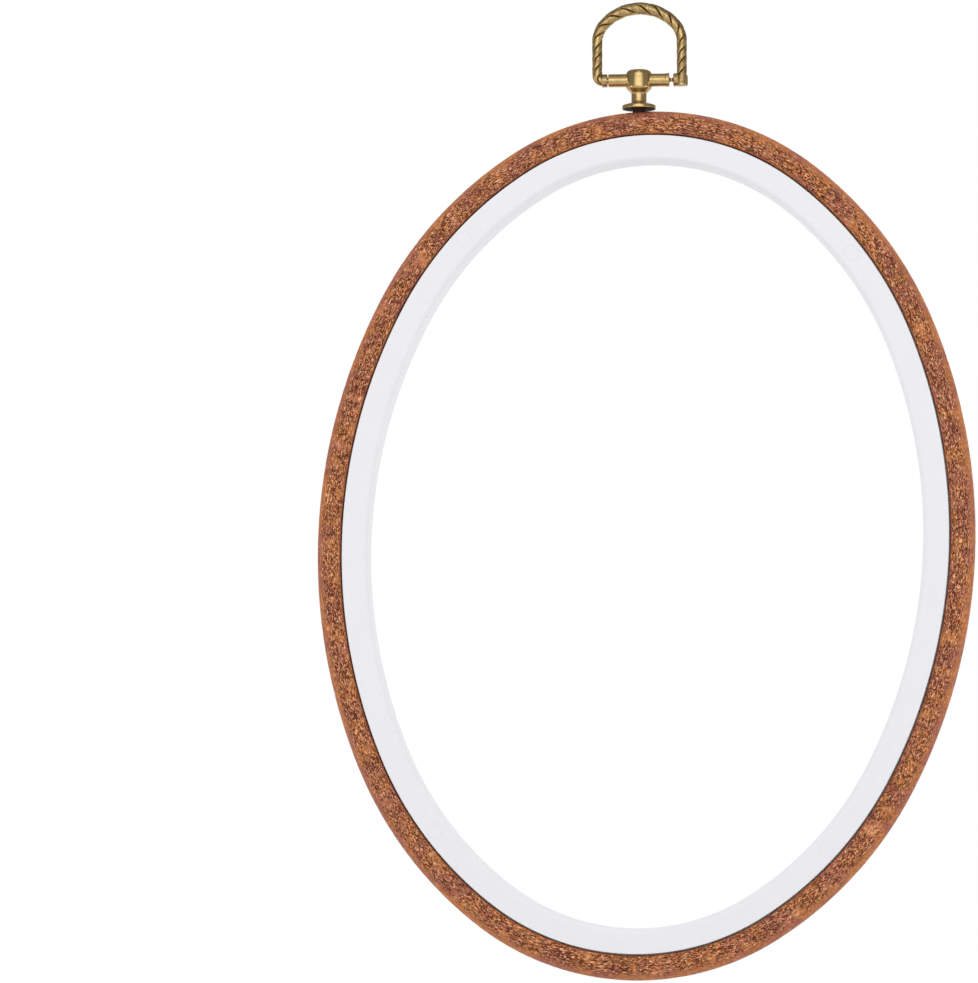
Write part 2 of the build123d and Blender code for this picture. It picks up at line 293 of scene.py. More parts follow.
def arc_points(centre, radius, start, end, spacing=None):
    """Points on an arc, from one angle to another, both in degrees."""
    turn = radians(end - start)
    count = ceil(abs(turn) / outline_detail)
    if spacing:
        count = ceil(abs(turn) * radius / spacing)
    angles = [radians(start) + turn * step / count for step in range(count + 1)]
    return [Vector((centre[0] + radius * cos(a), centre[1] + radius * sin(a))) for a in angles]


def rounded(corners, closed=True):
    """The points of an outline whose corners are given as across, along and fillet radius."""
    points = []
    count = len(corners)
    for index, (across, along, radius) in enumerate(corners):
        corner = Vector((across, along))
        if radius == 0 or (not closed and index in (0, count - 1)):
            points.append(corner)
            continue
        before = (Vector(corners[index - 1][:2]) - corner).normalized()
        after = (Vector(corners[(index + 1) % count][:2]) - corner).normalized()
        half = before.angle(after) / 2
        centre = corner + (before + after).normalized() * radius / sin(half)
        first = corner + before * radius / tan(half) - centre
        last = corner + after * radius / tan(half) - centre
        start = atan2(first.y, first.x)
        turn = atan2(first.cross(last), first.dot(last))
        points += arc_points(centre, radius, degrees(start), degrees(start + turn))
    return points


def filled(points, spacing, closed=True):
    """The same outline, with more points along its long straight runs."""
    ends = points[1:] + points[:1] if closed else points[1:]
    result = []
    for here, there in zip(points, ends):
        count = max(1, ceil((there - here).length / spacing - 0.01))
        result += [here.lerp(there, step / count) for step in range(count)]
    return result if closed else result + points[-1:]


square_corners = [(0, 0, 0), (mm(2), 0, mm(0.5)), (mm(2), mm(2), mm(0.5)), (0, mm(2), 0)]
print("a square with two rounded corners has", len(rounded(square_corners)), "points")

# %% [markdown]
# A lathe turns one outline through a full circle. The oval is not a circle, but arcs that run
# smoothly into each other, so the same spin tool makes it, turn by turn, each about its own centre.

# %% Draw and spin
merge_distance = mm(0.002)
lathe_steps = 64


def draw(name, points, closed):
    """An outline as a mesh of edges: one vertex, extruded from point to point."""
    bpy.ops.mesh.primitive_plane_add(size=mm(1))
    piece = bpy.context.object
    piece.name = name
    piece.data.name = name
    bpy.ops.object.mode_set(mode="EDIT")
    bpy.ops.mesh.merge(type="CENTER")
    bpy.ops.transform.translate(value=points[0])
    stops = points + points[:1] if closed else points
    for here, there in zip(stops, stops[1:]):
        bpy.ops.mesh.extrude_region_move(TRANSFORM_OT_translate={"value": there - here})
    bpy.ops.mesh.select_all(action="SELECT")
    bpy.ops.mesh.remove_doubles(threshold=merge_distance)
    return piece


def spin(turns):
    """Turns the outline about each centre and axis in turn, by an angle in degrees."""
    for centre, axis, angle, steps in turns:
        bpy.ops.mesh.spin(steps=steps, angle=radians(angle), center=centre, axis=axis)
    bpy.ops.mesh.select_all(action="SELECT")
    bpy.ops.mesh.remove_doubles(threshold=merge_distance)
    bpy.ops.mesh.normals_make_consistent(inside=False)
    bpy.ops.object.mode_set(mode="OBJECT")


def turned(name, corners, axis_x=0, base_z=crest_z):
    """A piece turned about an upright axis. Corners give radius, height and fillet."""
    points = [Vector((axis_x + p.x, 0, base_z + p.y)) for p in rounded(corners, closed=False)]
    piece = draw(name, points, closed=False)
    spin([((axis_x, 0, 0), (0, 0, 1), 360, lathe_steps)])
    return piece


def turned_across(name, corners, closed=False):
    """A piece turned about the hinge pin. Corners give place along it, radius and fillet."""
    points = [Vector((p.x, 0, pin_z + p.y)) for p in rounded(corners, closed)]
    piece = draw(name, points, closed)
    spin([((0, 0, pin_z), (1, 0, 0), 360, lathe_steps)])
    return piece


def smooth(piece, angle=35):
    """Smooth shading, with sharp edges where faces meet at more than an angle in degrees."""
    bpy.ops.object.select_all(action="DESELECT")
    piece.select_set(True)
    bpy.context.view_layer.objects.active = piece
    bpy.ops.object.shade_smooth_by_angle(angle=radians(angle))


def apply(piece, kind, **settings):
    """Adds a modifier and applies it."""
    bpy.context.view_layer.objects.active = piece
    modifier = piece.modifiers.new(kind.lower(), kind)
    for name, value in settings.items():
        setattr(modifier, name, value)
    bpy.ops.object.modifier_apply(modifier=modifier.name)


def cut(piece, *cutters):
    """Takes cutters away from a piece."""
    for cutter in cutters:
        apply(piece, "BOOLEAN", operation="DIFFERENCE", solver="MANIFOLD", object=cutter)
        bpy.data.objects.remove(cutter)


print("a full turn on the lathe takes", lathe_steps, "steps")

# %% [markdown]
# The seam between the two rings is an ellipse, 142.4 mm wide and 192.4 mm long. An ellipse has no
# single radius, but three radii on each quarter follow it within an eighth of a millimetre, as a
# die maker would draw it. One quarter is enough, because a mirror makes the other three.

# %% A quarter of the oval
opening_width, opening_length = mm(130), mm(180)
lean_angle = 2.8  # degrees, the oval's top leans to the right
inner_face_width = mm(6.2)
outer_face_width = mm(5.9)
seam_joint_angles = (25, 55)
seam_half_width = opening_width / 2 + inner_face_width
seam_half_length = opening_length / 2 + inner_face_width


def unit(angle):
    """The direction at an angle from X towards Z."""
    return cos(radians(angle)), sin(radians(angle))


def quarter_oval_radii(half_width, half_height, joint_angles, middle_radii=()):
    """Radii of the tangent arcs of a quarter oval, from its side to its top."""
    angles = (0, *joint_angles, 90)
    across = [unit(a)[0] - unit(b)[0] for a, b in zip(angles, angles[1:])]
    along = [unit(b)[1] - unit(a)[1] for a, b in zip(angles, angles[1:])]
    width_left = half_width - sum(r * c for r, c in zip(middle_radii, across[1:]))
    height_left = half_height - sum(r * c for r, c in zip(middle_radii, along[1:]))
    divisor = across[0] * along[-1] - across[-1] * along[0]
    first = (width_left * along[-1] - height_left * across[-1]) / divisor
    last = (height_left * across[0] - width_left * along[0]) / divisor
    return first, *middle_radii, last


def seam_quarter():
    """The arcs from the seam's right side to its top: centre, radius, first and last angle."""
    angles = (0, *seam_joint_angles, 90)
    middle = unit(sum(seam_joint_angles) / 2)
    reach = hypot(seam_half_width * middle[0], seam_half_length * middle[1])
    shoulder = (seam_half_width * seam_half_length) ** 2 / reach**3
    radii = quarter_oval_radii(seam_half_width, seam_half_length, seam_joint_angles, (shoulder,))
    centres = [Vector((seam_half_width - radii[0], 0))]
    for angle, radius, next_radius in zip(seam_joint_angles, radii, radii[1:]):
        centres.append(centres[-1] + Vector(unit(angle)) * (radius - next_radius))
    return list(zip(centres, radii, angles, angles[1:]))


def leaning(place, depth=0):
    """A place on the upright oval, as a place in the scene."""
    across, along = unit(-lean_angle)
    x = place.x * across - place.y * along
    z = place.x * along + place.y * across
    return oval_centre + Vector((x, depth, z))


for centre, radius, start, end in seam_quarter():
    print(f"arc of radius {radius * 1000:.2f} mm from {start} to {end} degrees")

# %% [markdown]
# Both rings are one section carried round the oval. A bevelled curve could do that too, but the
# spin tool turns the section about each arc's own centre, and so keeps to the drawing exactly.

# %% Ring from a section
ring_spacing = mm(0.6)  # from one section to the next round the oval


def ring(name, section, spacing):
    """A section, given as out from the seam and depth, turned round a quarter and mirrored."""
    arcs = seam_quarter()
    centre, radius, start, _ = arcs[0]
    points = [leaning(centre + Vector((radius + p.x, 0)), p.y) for p in section]
    piece = draw(name, points, closed=True)
    turns = []
    for centre, radius, start, end in arcs:
        steps = round(radius * radians(end - start) / spacing)
        turns.append((leaning(centre), (0, 1, 0), end - start, steps))
    spin(turns)
    bpy.ops.object.empty_add(location=oval_centre, rotation=(0, radians(lean_angle), 0))
    mirror = bpy.context.object
    apply(
        piece,
        "MIRROR",
        use_axis=(True, False, True),
        mirror_object=mirror,
        merge_threshold=merge_distance,
    )
    bpy.data.objects.remove(mirror)
    return piece


print(f"sections stand about {ring_spacing * 1000:.1f} mm apart")

# %% [markdown]
# The outer ring is vinyl, moulded soft enough to stretch over the inner one. In section it is a
# rounded crown with a straight bore behind a thin front lip. One circle would do for the crown, but
# its crest lies nearer to the seam than to the outside, so arcs of several sizes run together.

# %% Outer ring's section
front_crest, back_crest = ring_low.y, ring_high.y
crest_from_seam = mm(2.2)
lip_reach, lip_edge_drop, lip_thickness = mm(0.8), mm(1.1), mm(1.0)
back_edge_drop = mm(0.6)
cloth_gap = mm(0.25)
grain_spacing = mm(0.25)
hidden_spacing = mm(1.5)
lip_front = front_crest + lip_edge_drop
lip_back = lip_front + lip_thickness


def edge_arc(reach, drop, crest):
    """An arc that leaves the crest level and has fallen by drop at the ring's edge."""
    radius = (reach**2 + drop**2) / (2 * drop)
    side = 1 if crest > 0 else -1
    turn = degrees(atan2(reach, radius - drop))
    middle = (crest_from_seam, crest - side * radius)
    return arc_points(middle, radius, side * (90 + turn), side * 90, grain_spacing)


def outer_ring_section():
    """The rounded crown, from the lip's edge over the front to the back, and then the bore."""
    crown_reach = outer_face_width - crest_from_seam
    flank, shoulder = quarter_oval_radii(crown_reach, back_crest, (45,))
    shoulder_y = back_crest - shoulder
    flank_middle = (outer_face_width - flank, 0)
    front = edge_arc(crest_from_seam, lip_edge_drop, front_crest)
    back = edge_arc(crest_from_seam - lip_reach, back_edge_drop, back_crest)
    crown = (
        arc_points((crest_from_seam, -shoulder_y), shoulder, -90, -45, grain_spacing)[1:]
        + arc_points(flank_middle, flank, -45, 45, grain_spacing)[1:]
        + arc_points((crest_from_seam, shoulder_y), shoulder, 45, 90, grain_spacing)[1:]
    )
    bore = filled(
        [Vector((lip_reach, lip_back)), Vector((0, lip_back)), front[0]], hidden_spacing, False
    )
    return front + crown + back[::-1][1:] + bore[:-1]


outer_ring = ring("outer_ring_vinyl", outer_ring_section(), ring_spacing)
print("outer ring has", len(outer_ring.data.polygons), "faces")

# %% [markdown]
# The grain runs along the ring, so its pattern needs to know how far along and how far round the
# section each point is. A flat map would have a visible join somewhere. Instead the length is wound
# on a circle as long as the seam, which has no join, and stored at each vertex for the shader too.

# %% Where a point lies on the ring
quarter_length = sum(radius * radians(end - start) for _, radius, start, end in seam_quarter())
winding_radius = 4 * quarter_length / (2 * pi)
section_middle = mm(1.5)  # out from the seam
section_radius = mm(4.3)


def seam_place(point):
    """How far along the seam a point is, from the oval's right side, and how far out from it."""
    x, z = point.x - oval_centre.x, point.z - oval_centre.z
    across, along = unit(lean_angle)
    x, z = x * across - z * along, x * along + z * across
    passed = 0
    for centre, radius, start, end in seam_quarter_arcs:
        reach = Vector((abs(x), abs(z))) - centre
        angle = degrees(atan2(reach.y, reach.x))
        if angle <= end:
            break
        passed += radius * radians(end - start)
    length = min(passed + radius * radians(angle - start), quarter_length)
    if x < 0:
        length = 2 * quarter_length - length
    return (length if z > 0 else -length), reach.length - radius


def grain_path(point):
    """The place that the grain's pattern is read from."""
    length, out = seam_place(point)
    turn = length / winding_radius
    around = atan2(point.y, out - section_middle) * section_radius
    return Vector((winding_radius * cos(turn), winding_radius * sin(turn), around))


seam_quarter_arcs = seam_quarter()
print("the seam is", round(4000 * quarter_length), "mm long")

# %% [markdown]
# The wood grain is embossed. Bump shading alone would leave the ring's outline perfectly smooth, so
# the broad furrows are pressed into the mesh, and only the finest fibres are left to the shader.
# The furrows are ridges of noise, stretched along the ring and bent by slower noise, so that they
# curl. A vertex group holds how deep each point lies, and a Displace modifier presses it in.

# %% Embossed grain
furrow_length, furrow_width = mm(2.2), mm(0.7)
curl_size, curl_reach = mm(3.0), mm(0.9)
furrow_depth = mm(0.11)
furrow_narrowing = 3.2  # the larger, the narrower a furrow is between its lands
break_size = mm(5)  # furrows come and go over patches of this size
usual_strength, strength_change = 0.55, 0.5


def furrow(path):
    """How deep the grain is at a place, from 0 on the land to 1 in a furrow."""
    curl = noise.noise_vector(path / curl_size) * curl_reach
    bent = path + curl
    place = Vector((bent.x / furrow_length, bent.y / furrow_length, bent.z / furrow_width))
    ridge = 1 - min(1, abs(noise.noise(place)) * furrow_narrowing)
    strength = noise.noise(path / break_size) * strength_change + usual_strength
    return max(0, ridge) ** 2 * max(0, min(1, strength))


def emboss(piece):
    """Presses the grain in, and stores the pattern's places and the depth for the shader."""
    mesh = piece.data
    paths = [grain_path(vertex.co) for vertex in mesh.vertices]
    depths = [furrow(path) for path in paths]
    group = piece.vertex_groups.new(name="grain")
    for index, depth in enumerate(depths):
        group.add([index], depth, "REPLACE")
    places = mesh.attributes.new("grain_path", "FLOAT_VECTOR", "POINT")
    places.data.foreach_set("vector", [value for path in paths for value in path])
    deepness = mesh.attributes.new("grain_depth", "FLOAT", "POINT")
    deepness.data.foreach_set("value", depths)
    apply(piece, "DISPLACE", strength=-furrow_depth, mid_level=0, vertex_group="grain")


first_place = grain_path(outer_ring.data.vertices[0].co)
print("the grain at the first vertex is", round(furrow(first_place), 2), "deep, from 0 to 1")

# %% [markdown]
# The hanger's screw passes through the outer ring from its bore. A pocket there takes the screw's
# head, and a flat spot outside seats the post. The holes could be modelled into the section, but
# plain rods taken away by a Boolean are simpler. The ring is embossed first, so that the grain
# doesn't bend the holes.

# %% Hole and pocket for the hanger's screw
overshoot = mm(1)  # how far a cutter stands out of the piece that it cuts
pocket_overlap = mm(0.1)
seat_depth, seat_diameter = mm(0.2), mm(3.1)
hole_diameter = mm(2.2)
pocket_floor, pocket_diameter = mm(-2.9), mm(5.6)


def upright_rod(diameter, bottom, top):
    """A rod on the post's axis, with its ends given as heights over the ring's crest."""
    bpy.ops.mesh.primitive_cylinder_add(
        vertices=lathe_steps,
        radius=diameter / 2,
        depth=top - bottom,
        location=(0, 0, crest_z + (bottom + top) / 2),
    )
    return bpy.context.object


seat = upright_rod(seat_diameter, -seat_depth, overshoot)
hole = upright_rod(hole_diameter, pocket_floor - pocket_overlap, overshoot)
pocket = upright_rod(pocket_diameter, -2 * outer_face_width, pocket_floor)
emboss(outer_ring)
cut(outer_ring, seat, hole, pocket)
smooth(outer_ring, 50)
print("outer ring now has", len(outer_ring.data.polygons), "faces")

# %% [markdown]
# The inner ring is moulded in a hard white plastic. Thick plastic sinks as it cools, so such a ring
# is a channel, open to the back, with thin webs across it. It could be one plain extrusion, but the
# channel shows from behind. The pads in it leave faint round marks in the white face, and these are
# painted on as shade in the plastic's finish.

# %% Inner ring's channel
face_setback, back_stand = mm(0.4), mm(0.2)
opening_edge_radius, moulded_edge_radius = mm(1.0), mm(0.15)
channel_wall, channel_floor, channel_draft = mm(1.8), mm(2.0), 1.0
face_spacing = mm(0.5)
moulded_spacing = mm(0.9)
inner_front, inner_back = front_crest + face_setback, back_crest + back_stand
inner_outside = lip_reach - cloth_gap
floor_y = inner_front + channel_floor
taper = (inner_back - floor_y) * tan(radians(channel_draft))


def inner_ring_section():
    """The face, the opening's wall, the channel and the nose behind the outer ring's lip."""
    edge = moulded_edge_radius
    corners = [
        (-cloth_gap, inner_front, edge),
        (-cloth_gap, lip_back + cloth_gap, 0),
        (inner_outside, lip_back + cloth_gap, edge),
        (inner_outside, inner_back, edge),
        (inner_outside - channel_wall, inner_back, edge),
        (inner_outside - channel_wall - taper, floor_y, edge),
        (-inner_face_width + channel_wall + taper, floor_y, edge),
        (-inner_face_width + channel_wall, inner_back, edge),
        (-inner_face_width, inner_back, edge),
        (-inner_face_width, inner_front, opening_edge_radius),
    ]
    outline = rounded(corners)
    face_end = outline[:1]
    return filled(outline[-1:] + face_end, face_spacing, False)[1:-1] + outline


inner_ring = ring("inner_ring_moulded", inner_ring_section(), moulded_spacing)
print("inner ring has", len(inner_ring.data.polygons), "faces")

# %% [markdown]
# What stands in the channel has to follow the oval. Places could be read off an ellipse's formula,
# but the rings are made of arcs, and a point and its direction on an arc are exact.

# %% Places round the seam
def angle_along(length):
    """The seam's normal angle, a length round from the right side."""
    quarter, into = divmod(length % (4 * quarter_length), quarter_length)
    left = quarter_length - into if quarter in (1, 3) else into
    for _, radius, start, end in seam_quarter_arcs:
        run = min(left, radius * radians(end - start))
        angle = start + degrees(run / radius)
        left -= run
        if left <= 0:
            break
    return (angle, 180 - angle, 180 + angle, -angle)[int(quarter)]


def seam_point(angle):
    """The seam's point where its normal has an angle, and that normal."""
    normal = Vector(unit(angle))
    folded = degrees(asin(abs(normal.y)))
    centre, radius, _, _ = next(arc for arc in seam_quarter_arcs if folded <= arc[3] + 1e-6)
    sides = Vector((1 if normal.x > 0 else -1, 1 if normal.y > 0 else -1))
    return centre * sides + normal * radius, normal


print("a quarter of the seam turns", round(angle_along(quarter_length)), "degrees")

# %% [markdown]
# Thin webs brace the channel. Four round pads are where pins push the ring out of its mould. Each
# is made at the scene's middle and moved along the seam, which is simpler than modelling it in
# place. Webs and pads are welded one after the other, because shapes that overlap inside a single
# union leave holes in it.

# %% Webs and pads in the channel
web_count, web_thickness, web_setback = 24, mm(1.2), mm(1.2)
pad_diameter, pad_angles = mm(3.5), (40, 140, 220, 320)
pad_sides = 32
rib_bottom = inner_front + channel_floor / 2
rib_top = inner_back - web_setback
channel_middle = (inner_outside - inner_face_width) / 2
web_width = inner_outside + inner_face_width - channel_wall


def stand_in_channel(rib, point, normal):
    """Moves a rib, made at the scene's middle, to its place in the channel, and turns it."""
    rib.location = leaning(point + normal * channel_middle, (rib_bottom + rib_top) / 2)
    rib.rotation_euler.y = -atan2(normal.y, normal.x) + radians(lean_angle)
    bpy.ops.object.transform_apply(location=True, rotation=True, scale=True)
    return rib


first_web = -seam_quarter_arcs[0][1] * radians(seam_joint_angles[0])
webs, pads, pad_places = [], [], []
for index in range(web_count):
    bpy.ops.mesh.primitive_cube_add(size=1)
    bpy.context.object.scale = (web_width, rib_top - rib_bottom, web_thickness)
    angle = angle_along(first_web + index * 4 * quarter_length / web_count)
    webs.append(stand_in_channel(bpy.context.object, *seam_point(angle)))
for angle in pad_angles:
    bpy.ops.mesh.primitive_cylinder_add(
        vertices=pad_sides,
        radius=pad_diameter / 2,
        depth=rib_top - rib_bottom,
        rotation=(pi / 2, 0, 0),
    )
    bpy.ops.object.transform_apply(rotation=True)
    point, normal = seam_point(angle)
    pads.append(stand_in_channel(bpy.context.object, point, normal))
    pad_places.append(leaning(point + normal * channel_middle, inner_front))


def join(pieces):
    """Joins pieces into the first one."""
    bpy.ops.object.select_all(action="DESELECT")
    for piece in pieces:
        piece.select_set(True)
    bpy.context.view_layer.objects.active = pieces[0]
    bpy.ops.object.join()
    return pieces[0]


def weld(piece, addition):
    """Makes an addition one body with a piece."""
    apply(piece, "BOOLEAN", operation="UNION", solver="MANIFOLD", object=addition)
    bpy.data.objects.remove(addition)


weld(inner_ring, join(webs))
weld(inner_ring, join(pads))
smooth(inner_ring)
print("inner ring with its webs has", len(inner_ring.data.polygons), "faces")

# %% [markdown]
# The post is turned from a bar: a disc foot, a stem, and a barrel that is drilled across for the
# tube. It could be built from stacked cylinders, but a lathe's outline gives the soft corners that
# catch the light.

# %% Hanger post
collar_radius, foot_radius, stem_radius, barrel_radius = mm(1.5), mm(4.0), mm(1.8), mm(3.05)
foot_underside, foot_rim_top, foot_cone_top = mm(0.7), mm(1.55), mm(2.3)
stem_top, barrel_bottom, barrel_top = mm(4.5), mm(5.6), mm(10.0)
tapped_hole_diameter, tapped_hole_top = mm(2.02), mm(5.1)
tube_diameter = mm(3.1)
cross_hole_clearance = mm(0.01)
drill_reach = mm(5)  # to each side of the post's axis

post = turned(
    "hanger_post_turned",
    [
        (0, -seat_depth, 0),
        (collar_radius, -seat_depth, 0),
        (collar_radius, foot_underside, 0),
        (foot_radius, foot_underside, mm(0.15)),
        (foot_radius, foot_rim_top, mm(0.35)),
        (stem_radius, foot_cone_top, mm(0.5)),
        (stem_radius, stem_top, mm(0.5)),
        (barrel_radius, barrel_bottom, mm(0.7)),
        (barrel_radius, barrel_top, mm(1.1)),
        (0, barrel_top, 0),
    ],
)


def rod_across(diameter, start, end):
    """A rod on the hinge pin's axis."""
    bpy.ops.mesh.primitive_cylinder_add(
        vertices=lathe_steps,
        radius=diameter / 2,
        depth=end - start,
        location=((start + end) / 2, 0, pin_z),
        rotation=(0, pi / 2, 0),
    )
    bpy.ops.object.transform_apply(rotation=True)
    return bpy.context.object


cut(
    post,
    upright_rod(tapped_hole_diameter, -overshoot, tapped_hole_top),
    rod_across(tube_diameter + 2 * cross_hole_clearance, -drill_reach, drill_reach),
)
smooth(post)
print("post has", len(post.data.polygons), "faces")

# %% [markdown]
# The cross tube is pressed through the barrel, and the pin turns in it. At its right end the real
# tube is flared a little, and the pin is thinner in the gap there. Plain cylinders would be
# quicker, but these two details show, so both pieces are turned from an outline.

# %% Cross tube and hinge pin
tube_length, tube_chamfer = mm(14.4), mm(0.15)
bore_radius, pin_radius = mm(0.7), mm(0.65)
flare_length, flare_rise, flare_blend = mm(0.75), mm(0.07), mm(0.2)
tube_radius = tube_diameter / 2
tube_end = tube_length / 2

tube = turned_across(
    "cross_tube_pressed",
    [
        (-tube_end, bore_radius, tube_chamfer),
        (-tube_end, tube_radius, tube_chamfer),
        (tube_end - flare_length - flare_blend, tube_radius, flare_blend),
        (tube_end - flare_length, tube_radius + flare_rise, flare_blend),
        (tube_end, tube_radius + flare_rise, tube_chamfer),
        (tube_end, bore_radius, tube_chamfer),
    ],
    closed=True,
)
smooth(tube)

leg_spacing, bail_shift = mm(20.0), mm(0.15)
boss_gap, boss_middle = mm(15.6), mm(0.35)
left_leg_x, right_leg_x = bail_shift - leg_spacing / 2, bail_shift + leg_spacing / 2
left_boss_x, right_boss_x = boss_middle - boss_gap / 2, boss_middle + boss_gap / 2
neck_middle = (tube_end + right_boss_x) / 2
neck_radius, neck_half_length = mm(0.4), mm(0.1)
neck_blend = mm(0.1)
pin = turned_across(
    "hinge_pin_drawn",
    [
        (left_leg_x, 0, 0),
        (left_leg_x, pin_radius, 0),
        (tube_end, pin_radius, neck_blend),
        (neck_middle - neck_half_length, neck_radius, neck_blend),
        (neck_middle + neck_half_length, neck_radius, neck_blend),
        (right_boss_x, pin_radius, neck_blend),
        (right_leg_x, pin_radius, 0),
        (right_leg_x, 0, 0),
    ],
)
smooth(pin)
print("tube and pin have", len(tube.data.polygons), "and", len(pin.data.polygons), "faces")

# %% [markdown]
# The bail is cast like a rope of three strands, laid closer on the legs than over the crown. It
# could be three twisted tubes, but the casting has broad, nearly flat strands with narrow grooves
# between them. So a grooved bar is twisted by a Screw modifier, its twist is spread unevenly along
# it, and a Curve modifier bends it to the bail's shape.

# %% Bail's centreline
bail_inside_height, crown_thickness = mm(15.7), mm(2.95)
leg_diameter, straight_leg_height = mm(2.4), mm(9.2)
arch_joint_angle = 43
elbow_radius, end_block_rise, end_block_drop = mm(1.25), mm(1.0), mm(1.4)
centreline_spacing, straight_spacing = mm(0.15), mm(0.3)
same_place = mm(0.01)  # points closer than this are one point


def bail_centreline():
    """From the left boss round the elbow, up, over the crown and down to the right leg's end."""
    half = leg_spacing / 2
    rise = bail_inside_height + crown_thickness / 2 - straight_leg_height
    haunch, crown = quarter_oval_radii(half, rise, (arch_joint_angle,))
    crown_middle = (0, straight_leg_height + rise - crown)
    haunch_x = half - haunch
    turn = arch_joint_angle
    runs = (
        [Vector((left_boss_x - bail_shift, 0)), Vector((elbow_radius - half, 0))],
        arc_points((elbow_radius - half, elbow_radius), elbow_radius, 270, 180, centreline_spacing),
        arc_points((-haunch_x, straight_leg_height), haunch, 180, 180 - turn, centreline_spacing),
        arc_points(crown_middle, crown, 180 - turn, turn, centreline_spacing),
        arc_points((haunch_x, straight_leg_height), haunch, turn, 0, centreline_spacing),
        [Vector((half, end_block_rise / 2))],
    )
    points = [point for run in runs for point in run]
    apart = [p for p, q in zip(points, points[1:]) if (p - q).length > same_place] + points[-1:]
    even = filled(apart, straight_spacing, False)
    return [Vector((bail_shift + p.x, 0, pin_z + p.y)) for p in even]


centreline = bail_centreline()
bail_length = sum((q - p).length for p, q in zip(centreline, centreline[1:]))
print(f"the bail's centreline is {bail_length * 1000:.1f} mm long, with its elbow")

# %% [markdown]
# The strands cross the legs every 2.45 mm, and the crown every 3.9 mm. A Screw modifier alone would
# twist the bar evenly. So this step works out where each of the bar's rings has to lie: every ring
# turns by the same few degrees, and only the way to the next one changes.

# %% Twist of the strands
strand_count, groove_depth = 3, mm(0.36)
leg_strand_spacing, crown_strand_spacing = mm(2.45), mm(3.9)
turn_per_ring = 6  # degrees
rope_start = elbow_radius * pi / 2 + (left_boss_x - left_leg_x - elbow_radius)
rope_length = bail_length - rope_start + elbow_radius


def swell(place):
    """0 along the legs, rising to 1 at the crown, where the rope is thicker."""
    share = (place - rope_start + elbow_radius) / rope_length
    return sin(pi * max(0, min(1, share))) ** 4


ring_places = [0]
while ring_places[-1] < bail_length:
    widening = (crown_strand_spacing - leg_strand_spacing) * swell(ring_places[-1])
    spacing = leg_strand_spacing + widening
    ring_places.append(ring_places[-1] + spacing * turn_per_ring * strand_count / 360)
ring_places[-1] = bail_length
print(len(ring_places), "rings along the rope")

# %% [markdown]
# In section each strand is nearly flat on top, with a narrow groove at either side. Round lobes
# would be simpler, but they make the grooves look as wide as the strands. The section is screwed
# into a straight bar, the bar's rings are moved to their places, and a Curve modifier bends it.

# %% Rope
groove_turn = 15  # degrees from a groove's middle to the strand's edge
land_fall = mm(0.08)
strand_angles = (0, 3, 6, 8, 10, 12, 14, 16, 20, 28, 38, 49, 60)  # from a groove's middle
ring_step = mm(0.1)


def strand_point(strand, angle):
    """A point of the leg's section, at an angle from one strand's groove."""
    from_groove = min(1, abs(angle) / groove_turn)
    groove = 1 - from_groove**2 * (3 - 2 * from_groove)
    edge = 1 - abs(angle) / strand_angles[-1]
    reach = leg_diameter / 2 - land_fall * edge**2 - groove_depth * groove
    return Vector((*unit(360 / strand_count * strand + angle), 0)) * reach


section = [
    strand_point(strand, angle)
    for strand in range(strand_count)
    for angle in [-a for a in strand_angles[:0:-1]] + list(strand_angles[:-1])
]
bail = draw("bail_cast_rope", section, closed=True)
bpy.ops.object.mode_set(mode="OBJECT")
ring_count = len(ring_places) - 1
apply(
    bail,
    "SCREW",
    angle=radians(turn_per_ring * ring_count),
    screw_offset=ring_step * ring_count,
    steps=ring_count,
)
for vertex in bail.data.vertices:
    place = ring_places[round(vertex.co.z / ring_step)]
    growth = 1 + (crown_thickness / leg_diameter - 1) * swell(place)
    vertex.co = (vertex.co.x * growth, vertex.co.y * growth, place)


def close_ends(piece):
    """Fills open ends, and turns every face outwards."""
    bpy.ops.object.select_all(action="DESELECT")
    piece.select_set(True)
    bpy.context.view_layer.objects.active = piece
    bpy.ops.object.mode_set(mode="EDIT")
    bpy.ops.mesh.select_all(action="SELECT")
    bpy.ops.mesh.fill_holes(sides=0)
    bpy.ops.mesh.normals_make_consistent(inside=False)
    bpy.ops.object.mode_set(mode="OBJECT")


close_ends(bail)
path = draw("bail_path", centreline, closed=False)
bpy.ops.object.mode_set(mode="OBJECT")
bpy.ops.object.convert(target="CURVE")
path = bpy.context.object
apply(bail, "CURVE", object=path, deform_axis="POS_Z")
bpy.data.objects.remove(path)
print("rope has", len(bail.data.polygons), "faces")

# %% [markdown]
# A boss at each end of the bail holds the pin, and the right leg ends in a plain block. They could
# stay separate, but the real bail is one casting, so each is turned by itself and welded on. The
# pin's hole is bored through all of them at the end.

# %% Bosses on the bail
boss_radius, boss_length, boss_edge_radius = mm(1.55), mm(1.3), mm(0.2)
leg_neck_diameter = mm(2.1)
pin_hole_diameter = mm(1.32)
end_block_radius, end_block_edge = mm(1.4), mm(0.12)
bore_overshoot = mm(0.01)


def boss(start):
    """A disc on the hinge pin's axis."""
    end = start + boss_length
    corners = [
        (start, 0, 0),
        (start, boss_radius, boss_edge_radius),
        (end, boss_radius, boss_edge_radius),
        (end, 0, 0),
    ]
    return turned_across("boss", corners)


